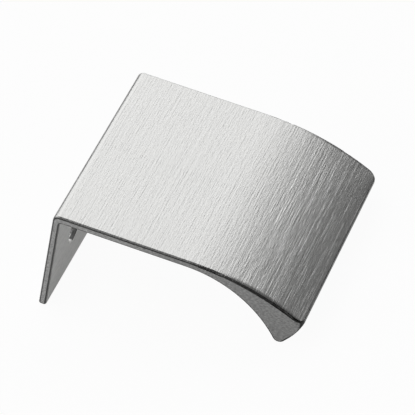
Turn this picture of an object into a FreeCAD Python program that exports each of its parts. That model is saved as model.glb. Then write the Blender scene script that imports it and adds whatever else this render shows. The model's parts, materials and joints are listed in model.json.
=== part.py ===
import FreeCAD, Part
import math
import os

# Driving dimensions, in millimetres
length = 40.0           # cut length of the section, along X
depth = 41.35           # back of the flange to the front of the lip, along Y
wall = 1.25             # thickness of the flange and of the plate
flange_height = 18.2    # top of the plate down to the lower edge of the flange
fold_r = 1.0            # outside radius where flange and plate meet
fold_inner_r = 0.3      # inside radius at the same corner
crown_run = 18.95       # front of the lip back to the point where its curved top starts
crown_r = 40.0          # radius of the curved top of the lip
front_height = 0.6      # flat front of the lip, between its curved top and its nose
front_r = 1.6           # rounding of the two front corners, seen from above
nose_r = 20.0           # slight bulge of the nose, between the front and the tip
lip_drop = 9.6          # top of the plate down to the tip of the lip
tip_r = 1.1             # rounding of the tip of the lip
groove_run = 19.55      # front of the lip back to the start of the finger groove
groove_r = 19.0         # radius of the finger groove under the lip
edge_r = 0.4            # rounding round the cut ends and the front, and along the flange's foot
hole_d = 5.0            # screw holes in the flange
hole_spacing = 20.0     # between the two hole centres, along X
hole_drop = 9.7         # top of the plate down to the hole centres
hole_edge = 0.1         # edge break of each hole on the door side
sink_depth = 0.7        # right-angled countersink of each hole at the back of the flange

# Working values
half_turn = math.pi
quarter_turn = math.pi / 2
overrun = 1.0           # how far a cutter passes the faces that it cuts
near = 1e-6             # two places closer than this are one
front_y = wall - depth
foot_z = hole_drop - flange_height
crown_start = depth - crown_run
groove_start = depth - groove_run


# The section is drawn in two values: u runs forward from the back of the flange to
# the lip, v runs up from the top of the plate. In the part, the origin is midway
# between the hole centres on the door side of the flange, +X along the length,
# -Y forward to the lip, +Z up.
def point(uv):
    return FreeCAD.Vector(-length / 2, wall - uv[0], uv[1] + hole_drop)


def on_circle(centre, radius, angle):
    return (centre[0] + radius * math.cos(angle), centre[1] + radius * math.sin(angle))


def bearing(start, end):
    return math.atan2(end[1] - start[1], end[0] - start[0])


def line(start, end):
    return Part.makeLine(point(start), point(end))


def arc(centre, radius, start, end):
    angles = (start, (start + end) / 2, end)
    places = [point(on_circle(centre, radius, angle)) for angle in angles]
    return Part.Arc(*places).toShape()


# The lip: its curved top ends at the flat front, and below the front the nose, the
# tip and the groove run smoothly into each other
crown = (crown_start, -crown_r)
crown_end = math.acos(crown_run / crown_r)
brow = on_circle(crown, crown_r, crown_end)
chin = (depth, brow[1] - front_height)
groove = (groove_start, -wall - groove_r)
tip_v = tip_r - lip_drop
tip_run = math.sqrt((groove_r + tip_r) ** 2 - (tip_v - groove[1]) ** 2)
tip = (groove_start + tip_run, tip_v)
span = math.hypot(tip[0] - chin[0], tip[1] - chin[1])
along = (nose_r ** 2 - (nose_r - tip_r) ** 2 + span ** 2) / (2 * span)
inward = math.sqrt(nose_r ** 2 - along ** 2)
ahead = ((tip[0] - chin[0]) / span, (tip[1] - chin[1]) / span)
nose = (chin[0] + along * ahead[0] + inward * ahead[1],
        chin[1] + along * ahead[1] - inward * ahead[0])

# Angles where the arcs meet
nose_start = bearing(nose, chin)
nose_end = bearing(nose, tip)
tip_end = bearing(tip, groove)
if tip_end > nose_end:
    tip_end -= 2 * half_turn
groove_tip = bearing(groove, tip)

# The closed section
fold = (fold_r, -fold_r)
fold_inner = (wall + fold_inner_r, -wall - fold_inner_r)
outline = [
    line((0, -flange_height), (0, -fold_r)),
    arc(fold, fold_r, half_turn, quarter_turn),
    line((fold_r, 0), (crown_start, 0)),
    arc(crown, crown_r, quarter_turn, crown_end),
    line(brow, chin),
    arc(nose, nose_r, nose_start, nose_end),
    arc(tip, tip_r, nose_end, tip_end),
    arc(groove, groove_r, groove_tip, quarter_turn),
    line((groove_start, -wall), (fold_inner[0], -wall)),
    arc(fold_inner, fold_inner_r, quarter_turn, half_turn),
    line((wall, fold_inner[1]), (wall, -flange_height)),
    line((wall, -flange_height), (0, -flange_height)),
]
section = Part.Face(Part.Wire(outline))
strip = section.extrude(FreeCAD.Vector(length, 0, 0))

# Seen from above, the two front corners are rounded
plan_base = FreeCAD.Vector(-length / 2, front_y, foot_z - overrun)
plan = Part.makeBox(length, depth + overrun, flange_height + 2 * overrun, plan_base)
corners = []
for edge in plan.Edges:
    box = edge.BoundBox
    if box.YMax < front_y + near and box.XLength < near:
        corners.append(edge)
plan = plan.makeFillet(front_r, corners)
body = strip.common(plan).removeSplitter()


# The upright faces round the part: cut ends, rounded front corners and flat front
def on_rim(face):
    box = face.BoundBox
    u_min, u_max, v_min, v_max = face.ParameterRange
    normal = face.normalAt((u_min + u_max) / 2, (v_min + v_max) / 2)
    at_end = box.XLength < near
    at_front = box.YMax < front_y + front_r + near
    return at_end or (at_front and abs(normal.z) < near)


# Rounded edges: above and below those upright faces, and the two lower edges of the
# flange. An edge between two upright faces is smooth already.
rim_edges = []
for face in body.Faces:
    if on_rim(face):
        rim_edges.extend(face.Edges)
rounded = []
for edge in rim_edges:
    if sum(edge.isSame(other) for other in rim_edges) == 1:
        rounded.append(edge)
for edge in body.Edges:
    box = edge.BoundBox
    if box.ZMax < foot_z + near and box.XLength > near:
        rounded.append(edge)
body = body.makeFillet(edge_r, rounded)

# Two screw holes through the flange, countersunk at the back
hole_r = hole_d / 2
backward = FreeCAD.Vector(0, 1, 0)
forward = FreeCAD.Vector(0, -1, 0)
for side in (-1, 1):
    x = side * hole_spacing / 2
    start = FreeCAD.Vector(x, -overrun, 0)
    door_mouth = FreeCAD.Vector(x, 0, 0)
    back_mouth = FreeCAD.Vector(x, wall, 0)
    drill = Part.makeCylinder(hole_r, wall + 2 * overrun, start, backward)
    edge_break = Part.makeCone(hole_r + hole_edge, hole_r, hole_edge, door_mouth, backward)
    sink = Part.makeCone(hole_r + sink_depth, hole_r, sink_depth, back_mouth, forward)
    body = body.cut(drill).cut(edge_break).cut(sink)

os.makedirs("parts", exist_ok=True)
body.exportStep("parts/tab_pull.step")
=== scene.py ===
import json
import math
from types import SimpleNamespace

import bpy
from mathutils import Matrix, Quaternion, Vector


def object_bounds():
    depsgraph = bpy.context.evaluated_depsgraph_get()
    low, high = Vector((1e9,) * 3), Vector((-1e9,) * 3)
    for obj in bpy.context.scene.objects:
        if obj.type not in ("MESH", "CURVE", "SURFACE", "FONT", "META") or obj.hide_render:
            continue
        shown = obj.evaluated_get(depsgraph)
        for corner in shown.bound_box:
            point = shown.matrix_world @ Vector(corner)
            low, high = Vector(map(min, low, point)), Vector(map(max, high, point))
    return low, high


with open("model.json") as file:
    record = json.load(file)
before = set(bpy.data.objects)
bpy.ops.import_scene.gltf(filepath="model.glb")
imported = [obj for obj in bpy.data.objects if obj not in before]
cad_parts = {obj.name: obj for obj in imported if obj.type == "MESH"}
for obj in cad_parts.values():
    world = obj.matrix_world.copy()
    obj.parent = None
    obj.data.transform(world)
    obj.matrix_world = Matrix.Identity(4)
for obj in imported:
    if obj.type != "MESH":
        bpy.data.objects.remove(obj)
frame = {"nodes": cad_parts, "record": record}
cad_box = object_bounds()
pull = frame["nodes"]["tab_pull"]
screw_holes = next(m for m in frame["record"]["mounts"] if m["name"] == "screw_holes")["dims"]

# Sides of the pull that places are counted from
front_y = cad_box[0][1]
back_y = cad_box[1][1]
end_x = cad_box[1][0]
top_z = cad_box[1][2]

# Camera, fitted to the outlines in the photograph: degrees, metres, and millimetres for the lens
VIEW_AZIMUTH = -78.75
VIEW_ELEVATION = 40.07
VIEW_ROLL = 11.53
VIEW_DISTANCE = 0.612
VIEW_TARGET = (-0.0007, -0.0182, 0.0047)
CLIP_START = 0.01
CLIP_END = 50.0
LENS_MM = 339.7
SENSOR_MM = 36.0

# Floor
FLOOR_SIZE = 8.0         # metres
FLOOR_COLOR = (0.9, 0.9, 0.9)
FLOOR_GLOW = 0.95        # share of plain white that the camera sees in the floor
FLOOR_SHEEN = 0.25       # the same share in reflections, where the floor's shadow counts more
HEIGHT_DIGITS = 6        # heights that agree to this many digits of a metre are one

# World
WORLD_COLOR = (1.0, 1.0, 1.0)
WORLD_LEVEL = 0.06       # strength of its light on the pull
WORLD_GLOW = 1.0         # share of plain white that the camera sees in it
WORLD_SHEEN = 0.03       # the same share in reflections

# Soft lamps: name, direction from the object, distance, width and height in metres, radiance
LAMPS = [
    ("key", (0.67, 0.47, 0.50), 0.9, 1.2, 0.9, 1.25),
    ("front", (0.20, -0.93, 0.30), 1.0, 1.0, 0.7, 0.55),
    ("rear", (-0.10, 0.90, 0.50), 1.0, 1.3, 0.8, 1.1),
    ("top", (-0.10, 0.40, 0.91), 1.0, 1.0, 0.7, 0.5),
    ("fill", (-0.70, 0.45, 0.50), 0.9, 0.8, 0.8, 0.8),
]

# Colours of the metal: brushed faces, painted shade on the rounded edges and darker painted shade
# on their rims next to the cut ends, cut ends, darker partly by painted shade, and painted shade
# with a glint on the walls of the screw holes. The lip has its own, with darker painted shade
# there.
BRUSHED_COLOR = (0.70, 0.70, 0.69)
EDGE_SHADE_COLOR = (0.31, 0.31, 0.306)
LIP_EDGE_SHADE_COLOR = (0.23, 0.23, 0.227)
RIM_SHADE_COLOR = (0.09, 0.09, 0.089)
LIP_RIM_SHADE_COLOR = (0.055, 0.055, 0.054)
# Cut ends: partly their own darker colour, partly painted shade, which is darker on the lip
CUT_AND_SHADE_COLOR = (0.45, 0.45, 0.445)
LIP_CUT_SHADE_COLOR = (0.38, 0.38, 0.376)
# Walls of the screw holes: painted shade, with a glint low on them
BORE_SHADE_COLOR = (0.14, 0.14, 0.138)
GLINT_COLOR = (0.95, 0.95, 0.94)

# Gloss of the metal
BRUSHED_ROUGHNESS = 0.38
EDGE_ROUGHNESS = 0.22
CUT_ROUGHNESS = 0.5
ANISOTROPY = 0.7
ACROSS_THE_BRUSH = 0.25             # share of a full turn
BRUSH_TANGENT = (1.0, 0.013, 0.02)  # along the length, tilted so that the cut ends have one too

# Where the finish changes. Each pair is where a change begins and where it is complete.
# Metres behind the front of the lip
FRONT_FADE = (0.001, 0.0002)
CORNER_FADE = (0.002, 0.0015)
FRONT_SHADE_FADE = (0.0061, 0.0039)
LIP_FADE = (0.0161, 0.0061)
CUT_SHADE_FADE = (0.0321, 0.0221)
# Metres up from the top of the plate
FOLD_FADE = (-0.0011, -0.0008)
# Normal along X, without its sign
EDGE_FACING = (0.05, 0.35)
RIM_FACING = (0.55, 0.8)
CUT_FACING = (0.97, 0.995)
CORNER_RIM_FACING = (0.05, 0.2)
CORNER_CUT_FACING = (0.65, 0.85)
# Normal along Y
FRONT_FACING = (-0.42, -0.6)
FOLD_FACING = (0.45, 0.75)
SEAT_FACING = (-0.8, -0.95)
# Normal along Z, for upright faces without its sign
TOP_FACING = (0.2, 0.5)
UPRIGHT_FACING = (0.3, 0.1)

# Screw holes, with their sizes from the record: metres, counted from the centre of a hole
MM = 0.001                          # a millimetre
HOLE_X = screw_holes["spacing_x_mm"] / 2 * MM   # centres, to either side of the pull's middle
HOLE_EDGE = 0.0001                  # edge break round a hole
HOLE_REACH = screw_holes["hole_r_mm"] * MM + HOLE_EDGE
FLANGE_REACH = 0.0026               # what is no further forward than this belongs to the flange
GLINT_HEIGHT = (-0.0017, -0.0020)   # a light spot low on the wall
GLINT_SIDE = (0.0, 0.0003)          # on the side of the nearer cut end

# Brush lines: noise cells to the metre along the length and across it
LONG_LINES = (80.0, 4000.0, 4000.0)
SHORT_LINES = (800.0, 4000.0, 4000.0)
SHORT_SHARE = 0.5
LINE_CONTRAST = (0.25, 0.75)
LINE_DEPTH = 0.000045               # metres
LINE_ROUGHNESS = 0.05
# How far the lines change the colour: plate, top of the lip, and flange where the door lies
LINE_TONE = 0.06
LIP_TONE = 0.2
SEAT_TONE = 0.25
# Single streaks on top of the lip: noise cells, the noise that makes one, and share of the colour
STREAKS = (100.0, 6000.0, 6000.0)
STREAK_PEAKS = (0.52, 0.68)
STREAK_SHARES = (0.88, 1.6)

# Fine grain of the cut ends: noise cells to the metre, and how far it changes the colour
GRAIN = (4000.0, 2000.0, 5000.0)
GRAIN_TONE = 0.4

# Painted shade makes the top a little darker along the front of the lip: share of its colour
FRONT_SHADE_SHARE = 0.89

# Brushing has rolled the top of the lip over near the cut ends, drawn as a bump, and painted shade
# darkens it there: metres, and share of its colour
ROLL_WIDTH = 0.0011
ROLL_DEPTH = 0.00035
ROLL_SHADE = (0.0009, 0.0005)
ROLL_SHADE_SHARE = 0.62

# Blender's Mix node has inputs and a result for each kind of value, told apart by number
NUMBER_INPUTS = (2, 3)
COLOR_INPUTS = (6, 7)
COLOR_RESULT = 2


def direction(azimuth, elevation):
    a = math.radians(azimuth)
    e = math.radians(elevation)
    return Vector((math.sin(a) * math.cos(e), -math.cos(a) * math.cos(e), math.sin(e)))


def link(obj):
    bpy.context.scene.collection.objects.link(obj)
    return obj


def make_camera():
    data = bpy.data.cameras.new("camera")
    data.lens = LENS_MM
    data.sensor_width = SENSOR_MM
    data.clip_start = CLIP_START
    data.clip_end = CLIP_END
    camera = link(bpy.data.objects.new("camera", data))
    back = direction(VIEW_AZIMUTH, VIEW_ELEVATION)
    camera.location = Vector(VIEW_TARGET) + back * VIEW_DISTANCE
    turn = Quaternion((0, 0, 1), math.radians(VIEW_ROLL))
    camera.rotation_mode = "QUATERNION"
    camera.rotation_quaternion = (-back).to_track_quat("-Z", "Y") @ turn
    bpy.context.scene.camera = camera


def make_lamp(name, towards, distance, width, height, radiance):
    data = bpy.data.lights.new(name, "AREA")
    data.shape = "RECTANGLE"
    data.size = width
    data.size_y = height
    data.energy = radiance * math.pi * width * height
    lamp = link(bpy.data.objects.new(name, data))
    aim = Vector(towards).normalized()
    lamp.location = Vector(VIEW_TARGET) + aim * distance
    lamp.rotation_mode = "QUATERNION"
    lamp.rotation_quaternion = (-aim).to_track_quat("-Z", "Y")


class Nodes:
    """Adds nodes to one node tree and joins them"""

    def __init__(self, tree):
        self.tree = tree

    def add(self, kind, **settings):
        node = self.tree.nodes.new(kind)
        for name, value in settings.items():
            setattr(node, name, value)
        return node

    def join(self, source, target):
        self.tree.links.new(source, target)

    def feed(self, socket, value):
        if isinstance(value, bpy.types.NodeSocket):
            self.join(value, socket)
        else:
            socket.default_value = value

    def math(self, operation, *values):
        node = self.add("ShaderNodeMath", operation=operation)
        for socket, value in zip(node.inputs, values):
            self.feed(socket, value)
        return node.outputs[0]

    def both(self, first, second):
        return self.math("MULTIPLY", first, second)

    def either(self, first, second):
        return self.math("MAXIMUM", first, second)

    def square(self, value):
        return self.math("MULTIPLY", value, value)

    def ramp(self, value, low, high, from_value=0.0, to_value=1.0, curve="SMOOTHSTEP"):
        node = self.add("ShaderNodeMapRange", interpolation_type=curve)
        self.feed(node.inputs["Value"], value)
        node.inputs["From Min"].default_value = low
        node.inputs["From Max"].default_value = high
        node.inputs["To Min"].default_value = from_value
        node.inputs["To Max"].default_value = to_value
        return node.outputs[0]

    def fade(self, value, side, places):
        """A ramp between two places that are counted from a side of the pull"""
        return self.ramp(value, side + places[0], side + places[1])

    def blend(self, factor, first, second):
        """Mixes two numbers or sockets"""
        node = self.add("ShaderNodeMix", data_type="FLOAT")
        self.feed(node.inputs["Factor"], factor)
        for number, value in zip(NUMBER_INPUTS, (first, second)):
            self.feed(node.inputs[number], value)
        return node.outputs["Result"]

    def tint(self, factor, first, second, mode="MIX"):
        """Mixes two colours or sockets"""
        node = self.add("ShaderNodeMix", data_type="RGBA", blend_type=mode)
        self.feed(node.inputs["Factor"], factor)
        for number, value in zip(COLOR_INPUTS, (first, second)):
            is_socket = isinstance(value, bpy.types.NodeSocket)
            self.feed(node.inputs[number], value if is_socket else (*value, 1.0))
        return node.outputs[COLOR_RESULT]

    def split(self, vector):
        node = self.add("ShaderNodeSeparateXYZ")
        self.join(vector, node.inputs[0])
        return node.outputs

    def noise(self, place, scale):
        mapping = self.add("ShaderNodeMapping")
        self.join(place, mapping.inputs["Vector"])
        mapping.inputs["Scale"].default_value = scale
        node = self.add("ShaderNodeTexNoise")
        self.join(mapping.outputs[0], node.inputs["Vector"])
        node.inputs["Scale"].default_value = 1.0
        return node.outputs[0]

    def whiteness(self, for_camera, for_reflections):
        """Share of plain white that a ray sees: one for the camera, another for reflections"""
        rays = self.add("ShaderNodeLightPath").outputs
        seen = self.math("MULTIPLY", rays["Is Camera Ray"], for_camera)
        mirrored = self.either(rays["Is Glossy Ray"], rays["Is Transmission Ray"])
        return self.either(seen, self.math("MULTIPLY", mirrored, for_reflections))


def make_world():
    world = bpy.data.worlds.new("world")
    world.use_nodes = True
    nodes = Nodes(world.node_tree)
    background = nodes.tree.nodes["Background"]
    background.inputs["Color"].default_value = (*WORLD_COLOR, 1.0)
    share = nodes.whiteness(WORLD_GLOW, WORLD_SHEEN)
    nodes.join(nodes.blend(share, WORLD_LEVEL, 1.0), background.inputs["Strength"])
    bpy.context.scene.world = world


def floor_material():
    material = bpy.data.materials.new("floor")
    material.use_nodes = True
    nodes = Nodes(material.node_tree)
    nodes.tree.nodes.clear()
    paper = nodes.add("ShaderNodeBsdfDiffuse")
    paper.inputs["Color"].default_value = (*FLOOR_COLOR, 1.0)
    glow = nodes.add("ShaderNodeEmission")
    from_above = nodes.add("ShaderNodeMixShader")
    nodes.join(nodes.whiteness(FLOOR_GLOW, FLOOR_SHEEN), from_above.inputs[0])
    nodes.join(paper.outputs[0], from_above.inputs[1])
    nodes.join(glow.outputs[0], from_above.inputs[2])

    # From below, the floor doesn't hide the pull
    one_sided = nodes.add("ShaderNodeMixShader")
    nodes.join(nodes.add("ShaderNodeNewGeometry").outputs["Backfacing"], one_sided.inputs[0])
    nodes.join(from_above.outputs[0], one_sided.inputs[1])
    nodes.join(nodes.add("ShaderNodeBsdfTransparent").outputs[0], one_sided.inputs[2])
    output = nodes.add("ShaderNodeOutputMaterial")
    nodes.join(one_sided.outputs[0], output.inputs["Surface"])
    return material


def make_floor():
    """A floor under the foot of the flange and the tip of the lip, on which the pull rests"""
    points = [vertex.co for vertex in pull.data.vertices]
    middle = (front_y + back_y) / 2
    foot = min((p for p in points if p.y > middle), key=lambda p: (round(p.z, HEIGHT_DIGITS), p.y))
    tip = min((p for p in points if p.y < middle), key=lambda p: p.z)
    half = FLOOR_SIZE / 2
    mesh = bpy.data.meshes.new("floor")
    corners = [(-half, -half, 0), (half, -half, 0), (half, half, 0), (-half, half, 0)]
    mesh.from_pydata(corners, [], [(0, 1, 2, 3)])
    mesh.materials.append(floor_material())
    floor = link(bpy.data.objects.new("floor", mesh))
    floor.location = (0.0, foot.y, foot.z)
    floor.rotation_euler = (math.atan2(foot.z - tip.z, foot.y - tip.y), 0.0, 0.0)


def find_zones(nodes):
    """Sockets for the zones of the finish, 1 inside and 0 outside, and for places on the pull"""
    coordinates = nodes.add("ShaderNodeTexCoord")
    zones = SimpleNamespace(place=coordinates.outputs["Object"])
    x, y, z = nodes.split(zones.place)
    normal_x, normal_y, normal_z = nodes.split(coordinates.outputs["Normal"])
    from_middle = nodes.math("ABSOLUTE", x)
    facing_end = nodes.math("ABSOLUTE", normal_x)
    facing_up = nodes.ramp(normal_z, *TOP_FACING)

    # Rounded edges, and with them the front and the fold, which get painted shade
    front = nodes.both(nodes.fade(y, front_y, FRONT_FADE), nodes.ramp(normal_y, *FRONT_FACING))
    fold = nodes.both(nodes.fade(z, top_z, FOLD_FADE), nodes.ramp(normal_y, *FOLD_FACING))
    edge = nodes.ramp(facing_end, *EDGE_FACING)
    zones.rounded = nodes.either(edge, nodes.either(front, fold))

    # Rims of the cut ends, which get darker painted shade, then the ends themselves. Both go on
    # round the front corners.
    at_corner = nodes.fade(y, front_y, CORNER_FADE)
    corner_rim = nodes.both(at_corner, nodes.ramp(facing_end, *CORNER_RIM_FACING))
    zones.rim = nodes.either(nodes.ramp(facing_end, *RIM_FACING), corner_rim)
    upright = nodes.ramp(nodes.math("ABSOLUTE", normal_z), *UPRIGHT_FACING)
    corner_cut = nodes.both(at_corner, nodes.ramp(facing_end, *CORNER_CUT_FACING))
    corner_cut = nodes.both(corner_cut, upright)
    zones.cut = nodes.either(nodes.ramp(facing_end, *CUT_FACING), corner_cut)
    # Painted shade on the cut ends, growing towards the lip
    zones.dark_cut = nodes.fade(y, front_y, CUT_SHADE_FADE)

    # The face of the flange that lies against the door, and the walls of the screw holes, which
    # get painted shade
    in_flange = nodes.math("GREATER_THAN", y, -FLANGE_REACH)
    zones.seat = nodes.both(in_flange, nodes.ramp(normal_y, *SEAT_FACING))
    aside = nodes.math("SUBTRACT", from_middle, HOLE_X)
    reach = nodes.math("SQRT", nodes.math("ADD", nodes.square(aside), nodes.square(z)))
    zones.bore = nodes.both(nodes.math("LESS_THAN", reach, HOLE_REACH), in_flange)
    zones.glint = nodes.both(nodes.ramp(z, *GLINT_HEIGHT), nodes.ramp(aside, *GLINT_SIDE))

    # The lip, its top, and the painted shade along its front and at its rolled ends
    zones.lip = nodes.fade(y, front_y, LIP_FADE)
    zones.lip_top = nodes.both(zones.lip, facing_up)
    zones.dull = nodes.both(nodes.fade(y, front_y, FRONT_SHADE_FADE), facing_up)
    zones.from_end = nodes.math("SUBTRACT", end_x, from_middle)
    zones.rolled = nodes.both(zones.lip, nodes.ramp(zones.from_end, *ROLL_SHADE))
    return zones


def brush_lines(nodes, zones):
    """Lines along the length, from 0 to 1"""
    long_lines = nodes.noise(zones.place, LONG_LINES)
    short_lines = nodes.noise(zones.place, SHORT_LINES)
    lines = nodes.blend(SHORT_SHARE, long_lines, short_lines)
    return nodes.ramp(lines, *LINE_CONTRAST, curve="LINEAR")


def metal_color(nodes, zones, lines):
    """Colour of each zone, some of it painted shade, times the shade of its lines, streaks or
    grain and painted shade on the lip
    """
    # Painted shade on the rounded edges and darker painted shade on their rims, both darker on the
    # lip
    edge_shade_color = nodes.tint(zones.lip, EDGE_SHADE_COLOR, LIP_EDGE_SHADE_COLOR)
    rim_shade_color = nodes.tint(zones.lip, RIM_SHADE_COLOR, LIP_RIM_SHADE_COLOR)
    # Cut ends: partly their own colour, partly painted shade, darker towards the lip
    cut_and_shade_color = nodes.tint(zones.dark_cut, CUT_AND_SHADE_COLOR, LIP_CUT_SHADE_COLOR)
    # Painted shade on the walls of the screw holes, with the glint low on them
    bore_shade_and_glint = nodes.tint(zones.glint, BORE_SHADE_COLOR, GLINT_COLOR)
    color = nodes.tint(zones.rounded, BRUSHED_COLOR, edge_shade_color)
    color = nodes.tint(zones.rim, color, rim_shade_color)
    color = nodes.tint(zones.cut, color, cut_and_shade_color)
    color = nodes.tint(zones.bore, color, bore_shade_and_glint)

    swing = nodes.blend(zones.lip_top, LINE_TONE, LIP_TONE)
    swing = nodes.blend(zones.seat, swing, SEAT_TONE)
    shade = nodes.blend(lines, nodes.math("SUBTRACT", 1.0, swing), nodes.math("ADD", 1.0, swing))
    streaks = nodes.ramp(nodes.noise(zones.place, STREAKS), *STREAK_PEAKS, *STREAK_SHARES)
    # The streaks, then painted shade on the rolled ends and along the front of the lip
    shares = [(zones.lip_top, streaks), (zones.rolled, ROLL_SHADE_SHARE), (zones.dull, FRONT_SHADE_SHARE)]
    for zone, share in shares:
        shade = nodes.math("MULTIPLY", shade, nodes.blend(zone, 1.0, share))
    grain = nodes.ramp(nodes.noise(zones.place, GRAIN), *LINE_CONTRAST, curve="LINEAR")
    grain = nodes.blend(grain, 1.0 - GRAIN_TONE, 1.0 + GRAIN_TONE)
    shade = nodes.blend(zones.cut, shade, grain)
    return nodes.tint(1.0, color, shade, "MULTIPLY")


def metal_roughness(nodes, zones, lines):
    least = BRUSHED_ROUGHNESS - LINE_ROUGHNESS / 2
    roughness = nodes.blend(lines, least, least + LINE_ROUGHNESS)
    roughness = nodes.blend(zones.rounded, roughness, EDGE_ROUGHNESS)
    return nodes.blend(nodes.either(zones.cut, zones.bore), roughness, CUT_ROUGHNESS)


def metal_normal(nodes, zones, lines):
    """Bump from the height in metres: the lines, less the roll-over at the ends of the lip"""
    to_edge = nodes.math("SUBTRACT", 1.0, nodes.math("DIVIDE", zones.from_end, ROLL_WIDTH))
    roll = nodes.square(nodes.math("MAXIMUM", to_edge, 0.0))
    roll = nodes.math("MULTIPLY", roll, nodes.math("MULTIPLY", zones.lip, ROLL_DEPTH))
    height = nodes.math("SUBTRACT", nodes.math("MULTIPLY", lines, LINE_DEPTH), roll)
    bump = nodes.add("ShaderNodeBump")
    bump.inputs["Distance"].default_value = 1.0
    nodes.join(height, bump.inputs["Height"])
    return bump.outputs[0]


def metal_material():
    material = bpy.data.materials.new("brushed_metal")
    material.use_nodes = True
    nodes = Nodes(material.node_tree)
    shader = nodes.tree.nodes["Principled BSDF"]
    zones = find_zones(nodes)
    lines = brush_lines(nodes, zones)
    nodes.join(metal_color(nodes, zones, lines), shader.inputs["Base Color"])
    nodes.join(metal_roughness(nodes, zones, lines), shader.inputs["Roughness"])
    nodes.join(metal_normal(nodes, zones, lines), shader.inputs["Normal"])
    tangent = nodes.add("ShaderNodeCombineXYZ")
    for socket, value in zip(tangent.inputs, BRUSH_TANGENT):
        socket.default_value = value
    nodes.join(tangent.outputs[0], shader.inputs["Tangent"])
    shader.inputs["Metallic"].default_value = 1.0
    shader.inputs["Anisotropic"].default_value = ANISOTROPY
    shader.inputs["Anisotropic Rotation"].default_value = ACROSS_THE_BRUSH
    return material


make_camera()
make_world()
make_floor()
for lamp in LAMPS:
    make_lamp(*lamp)
pull.data.materials.clear()
pull.data.materials.append(metal_material())

bpy.context.scene.view_settings.view_transform = "Standard"
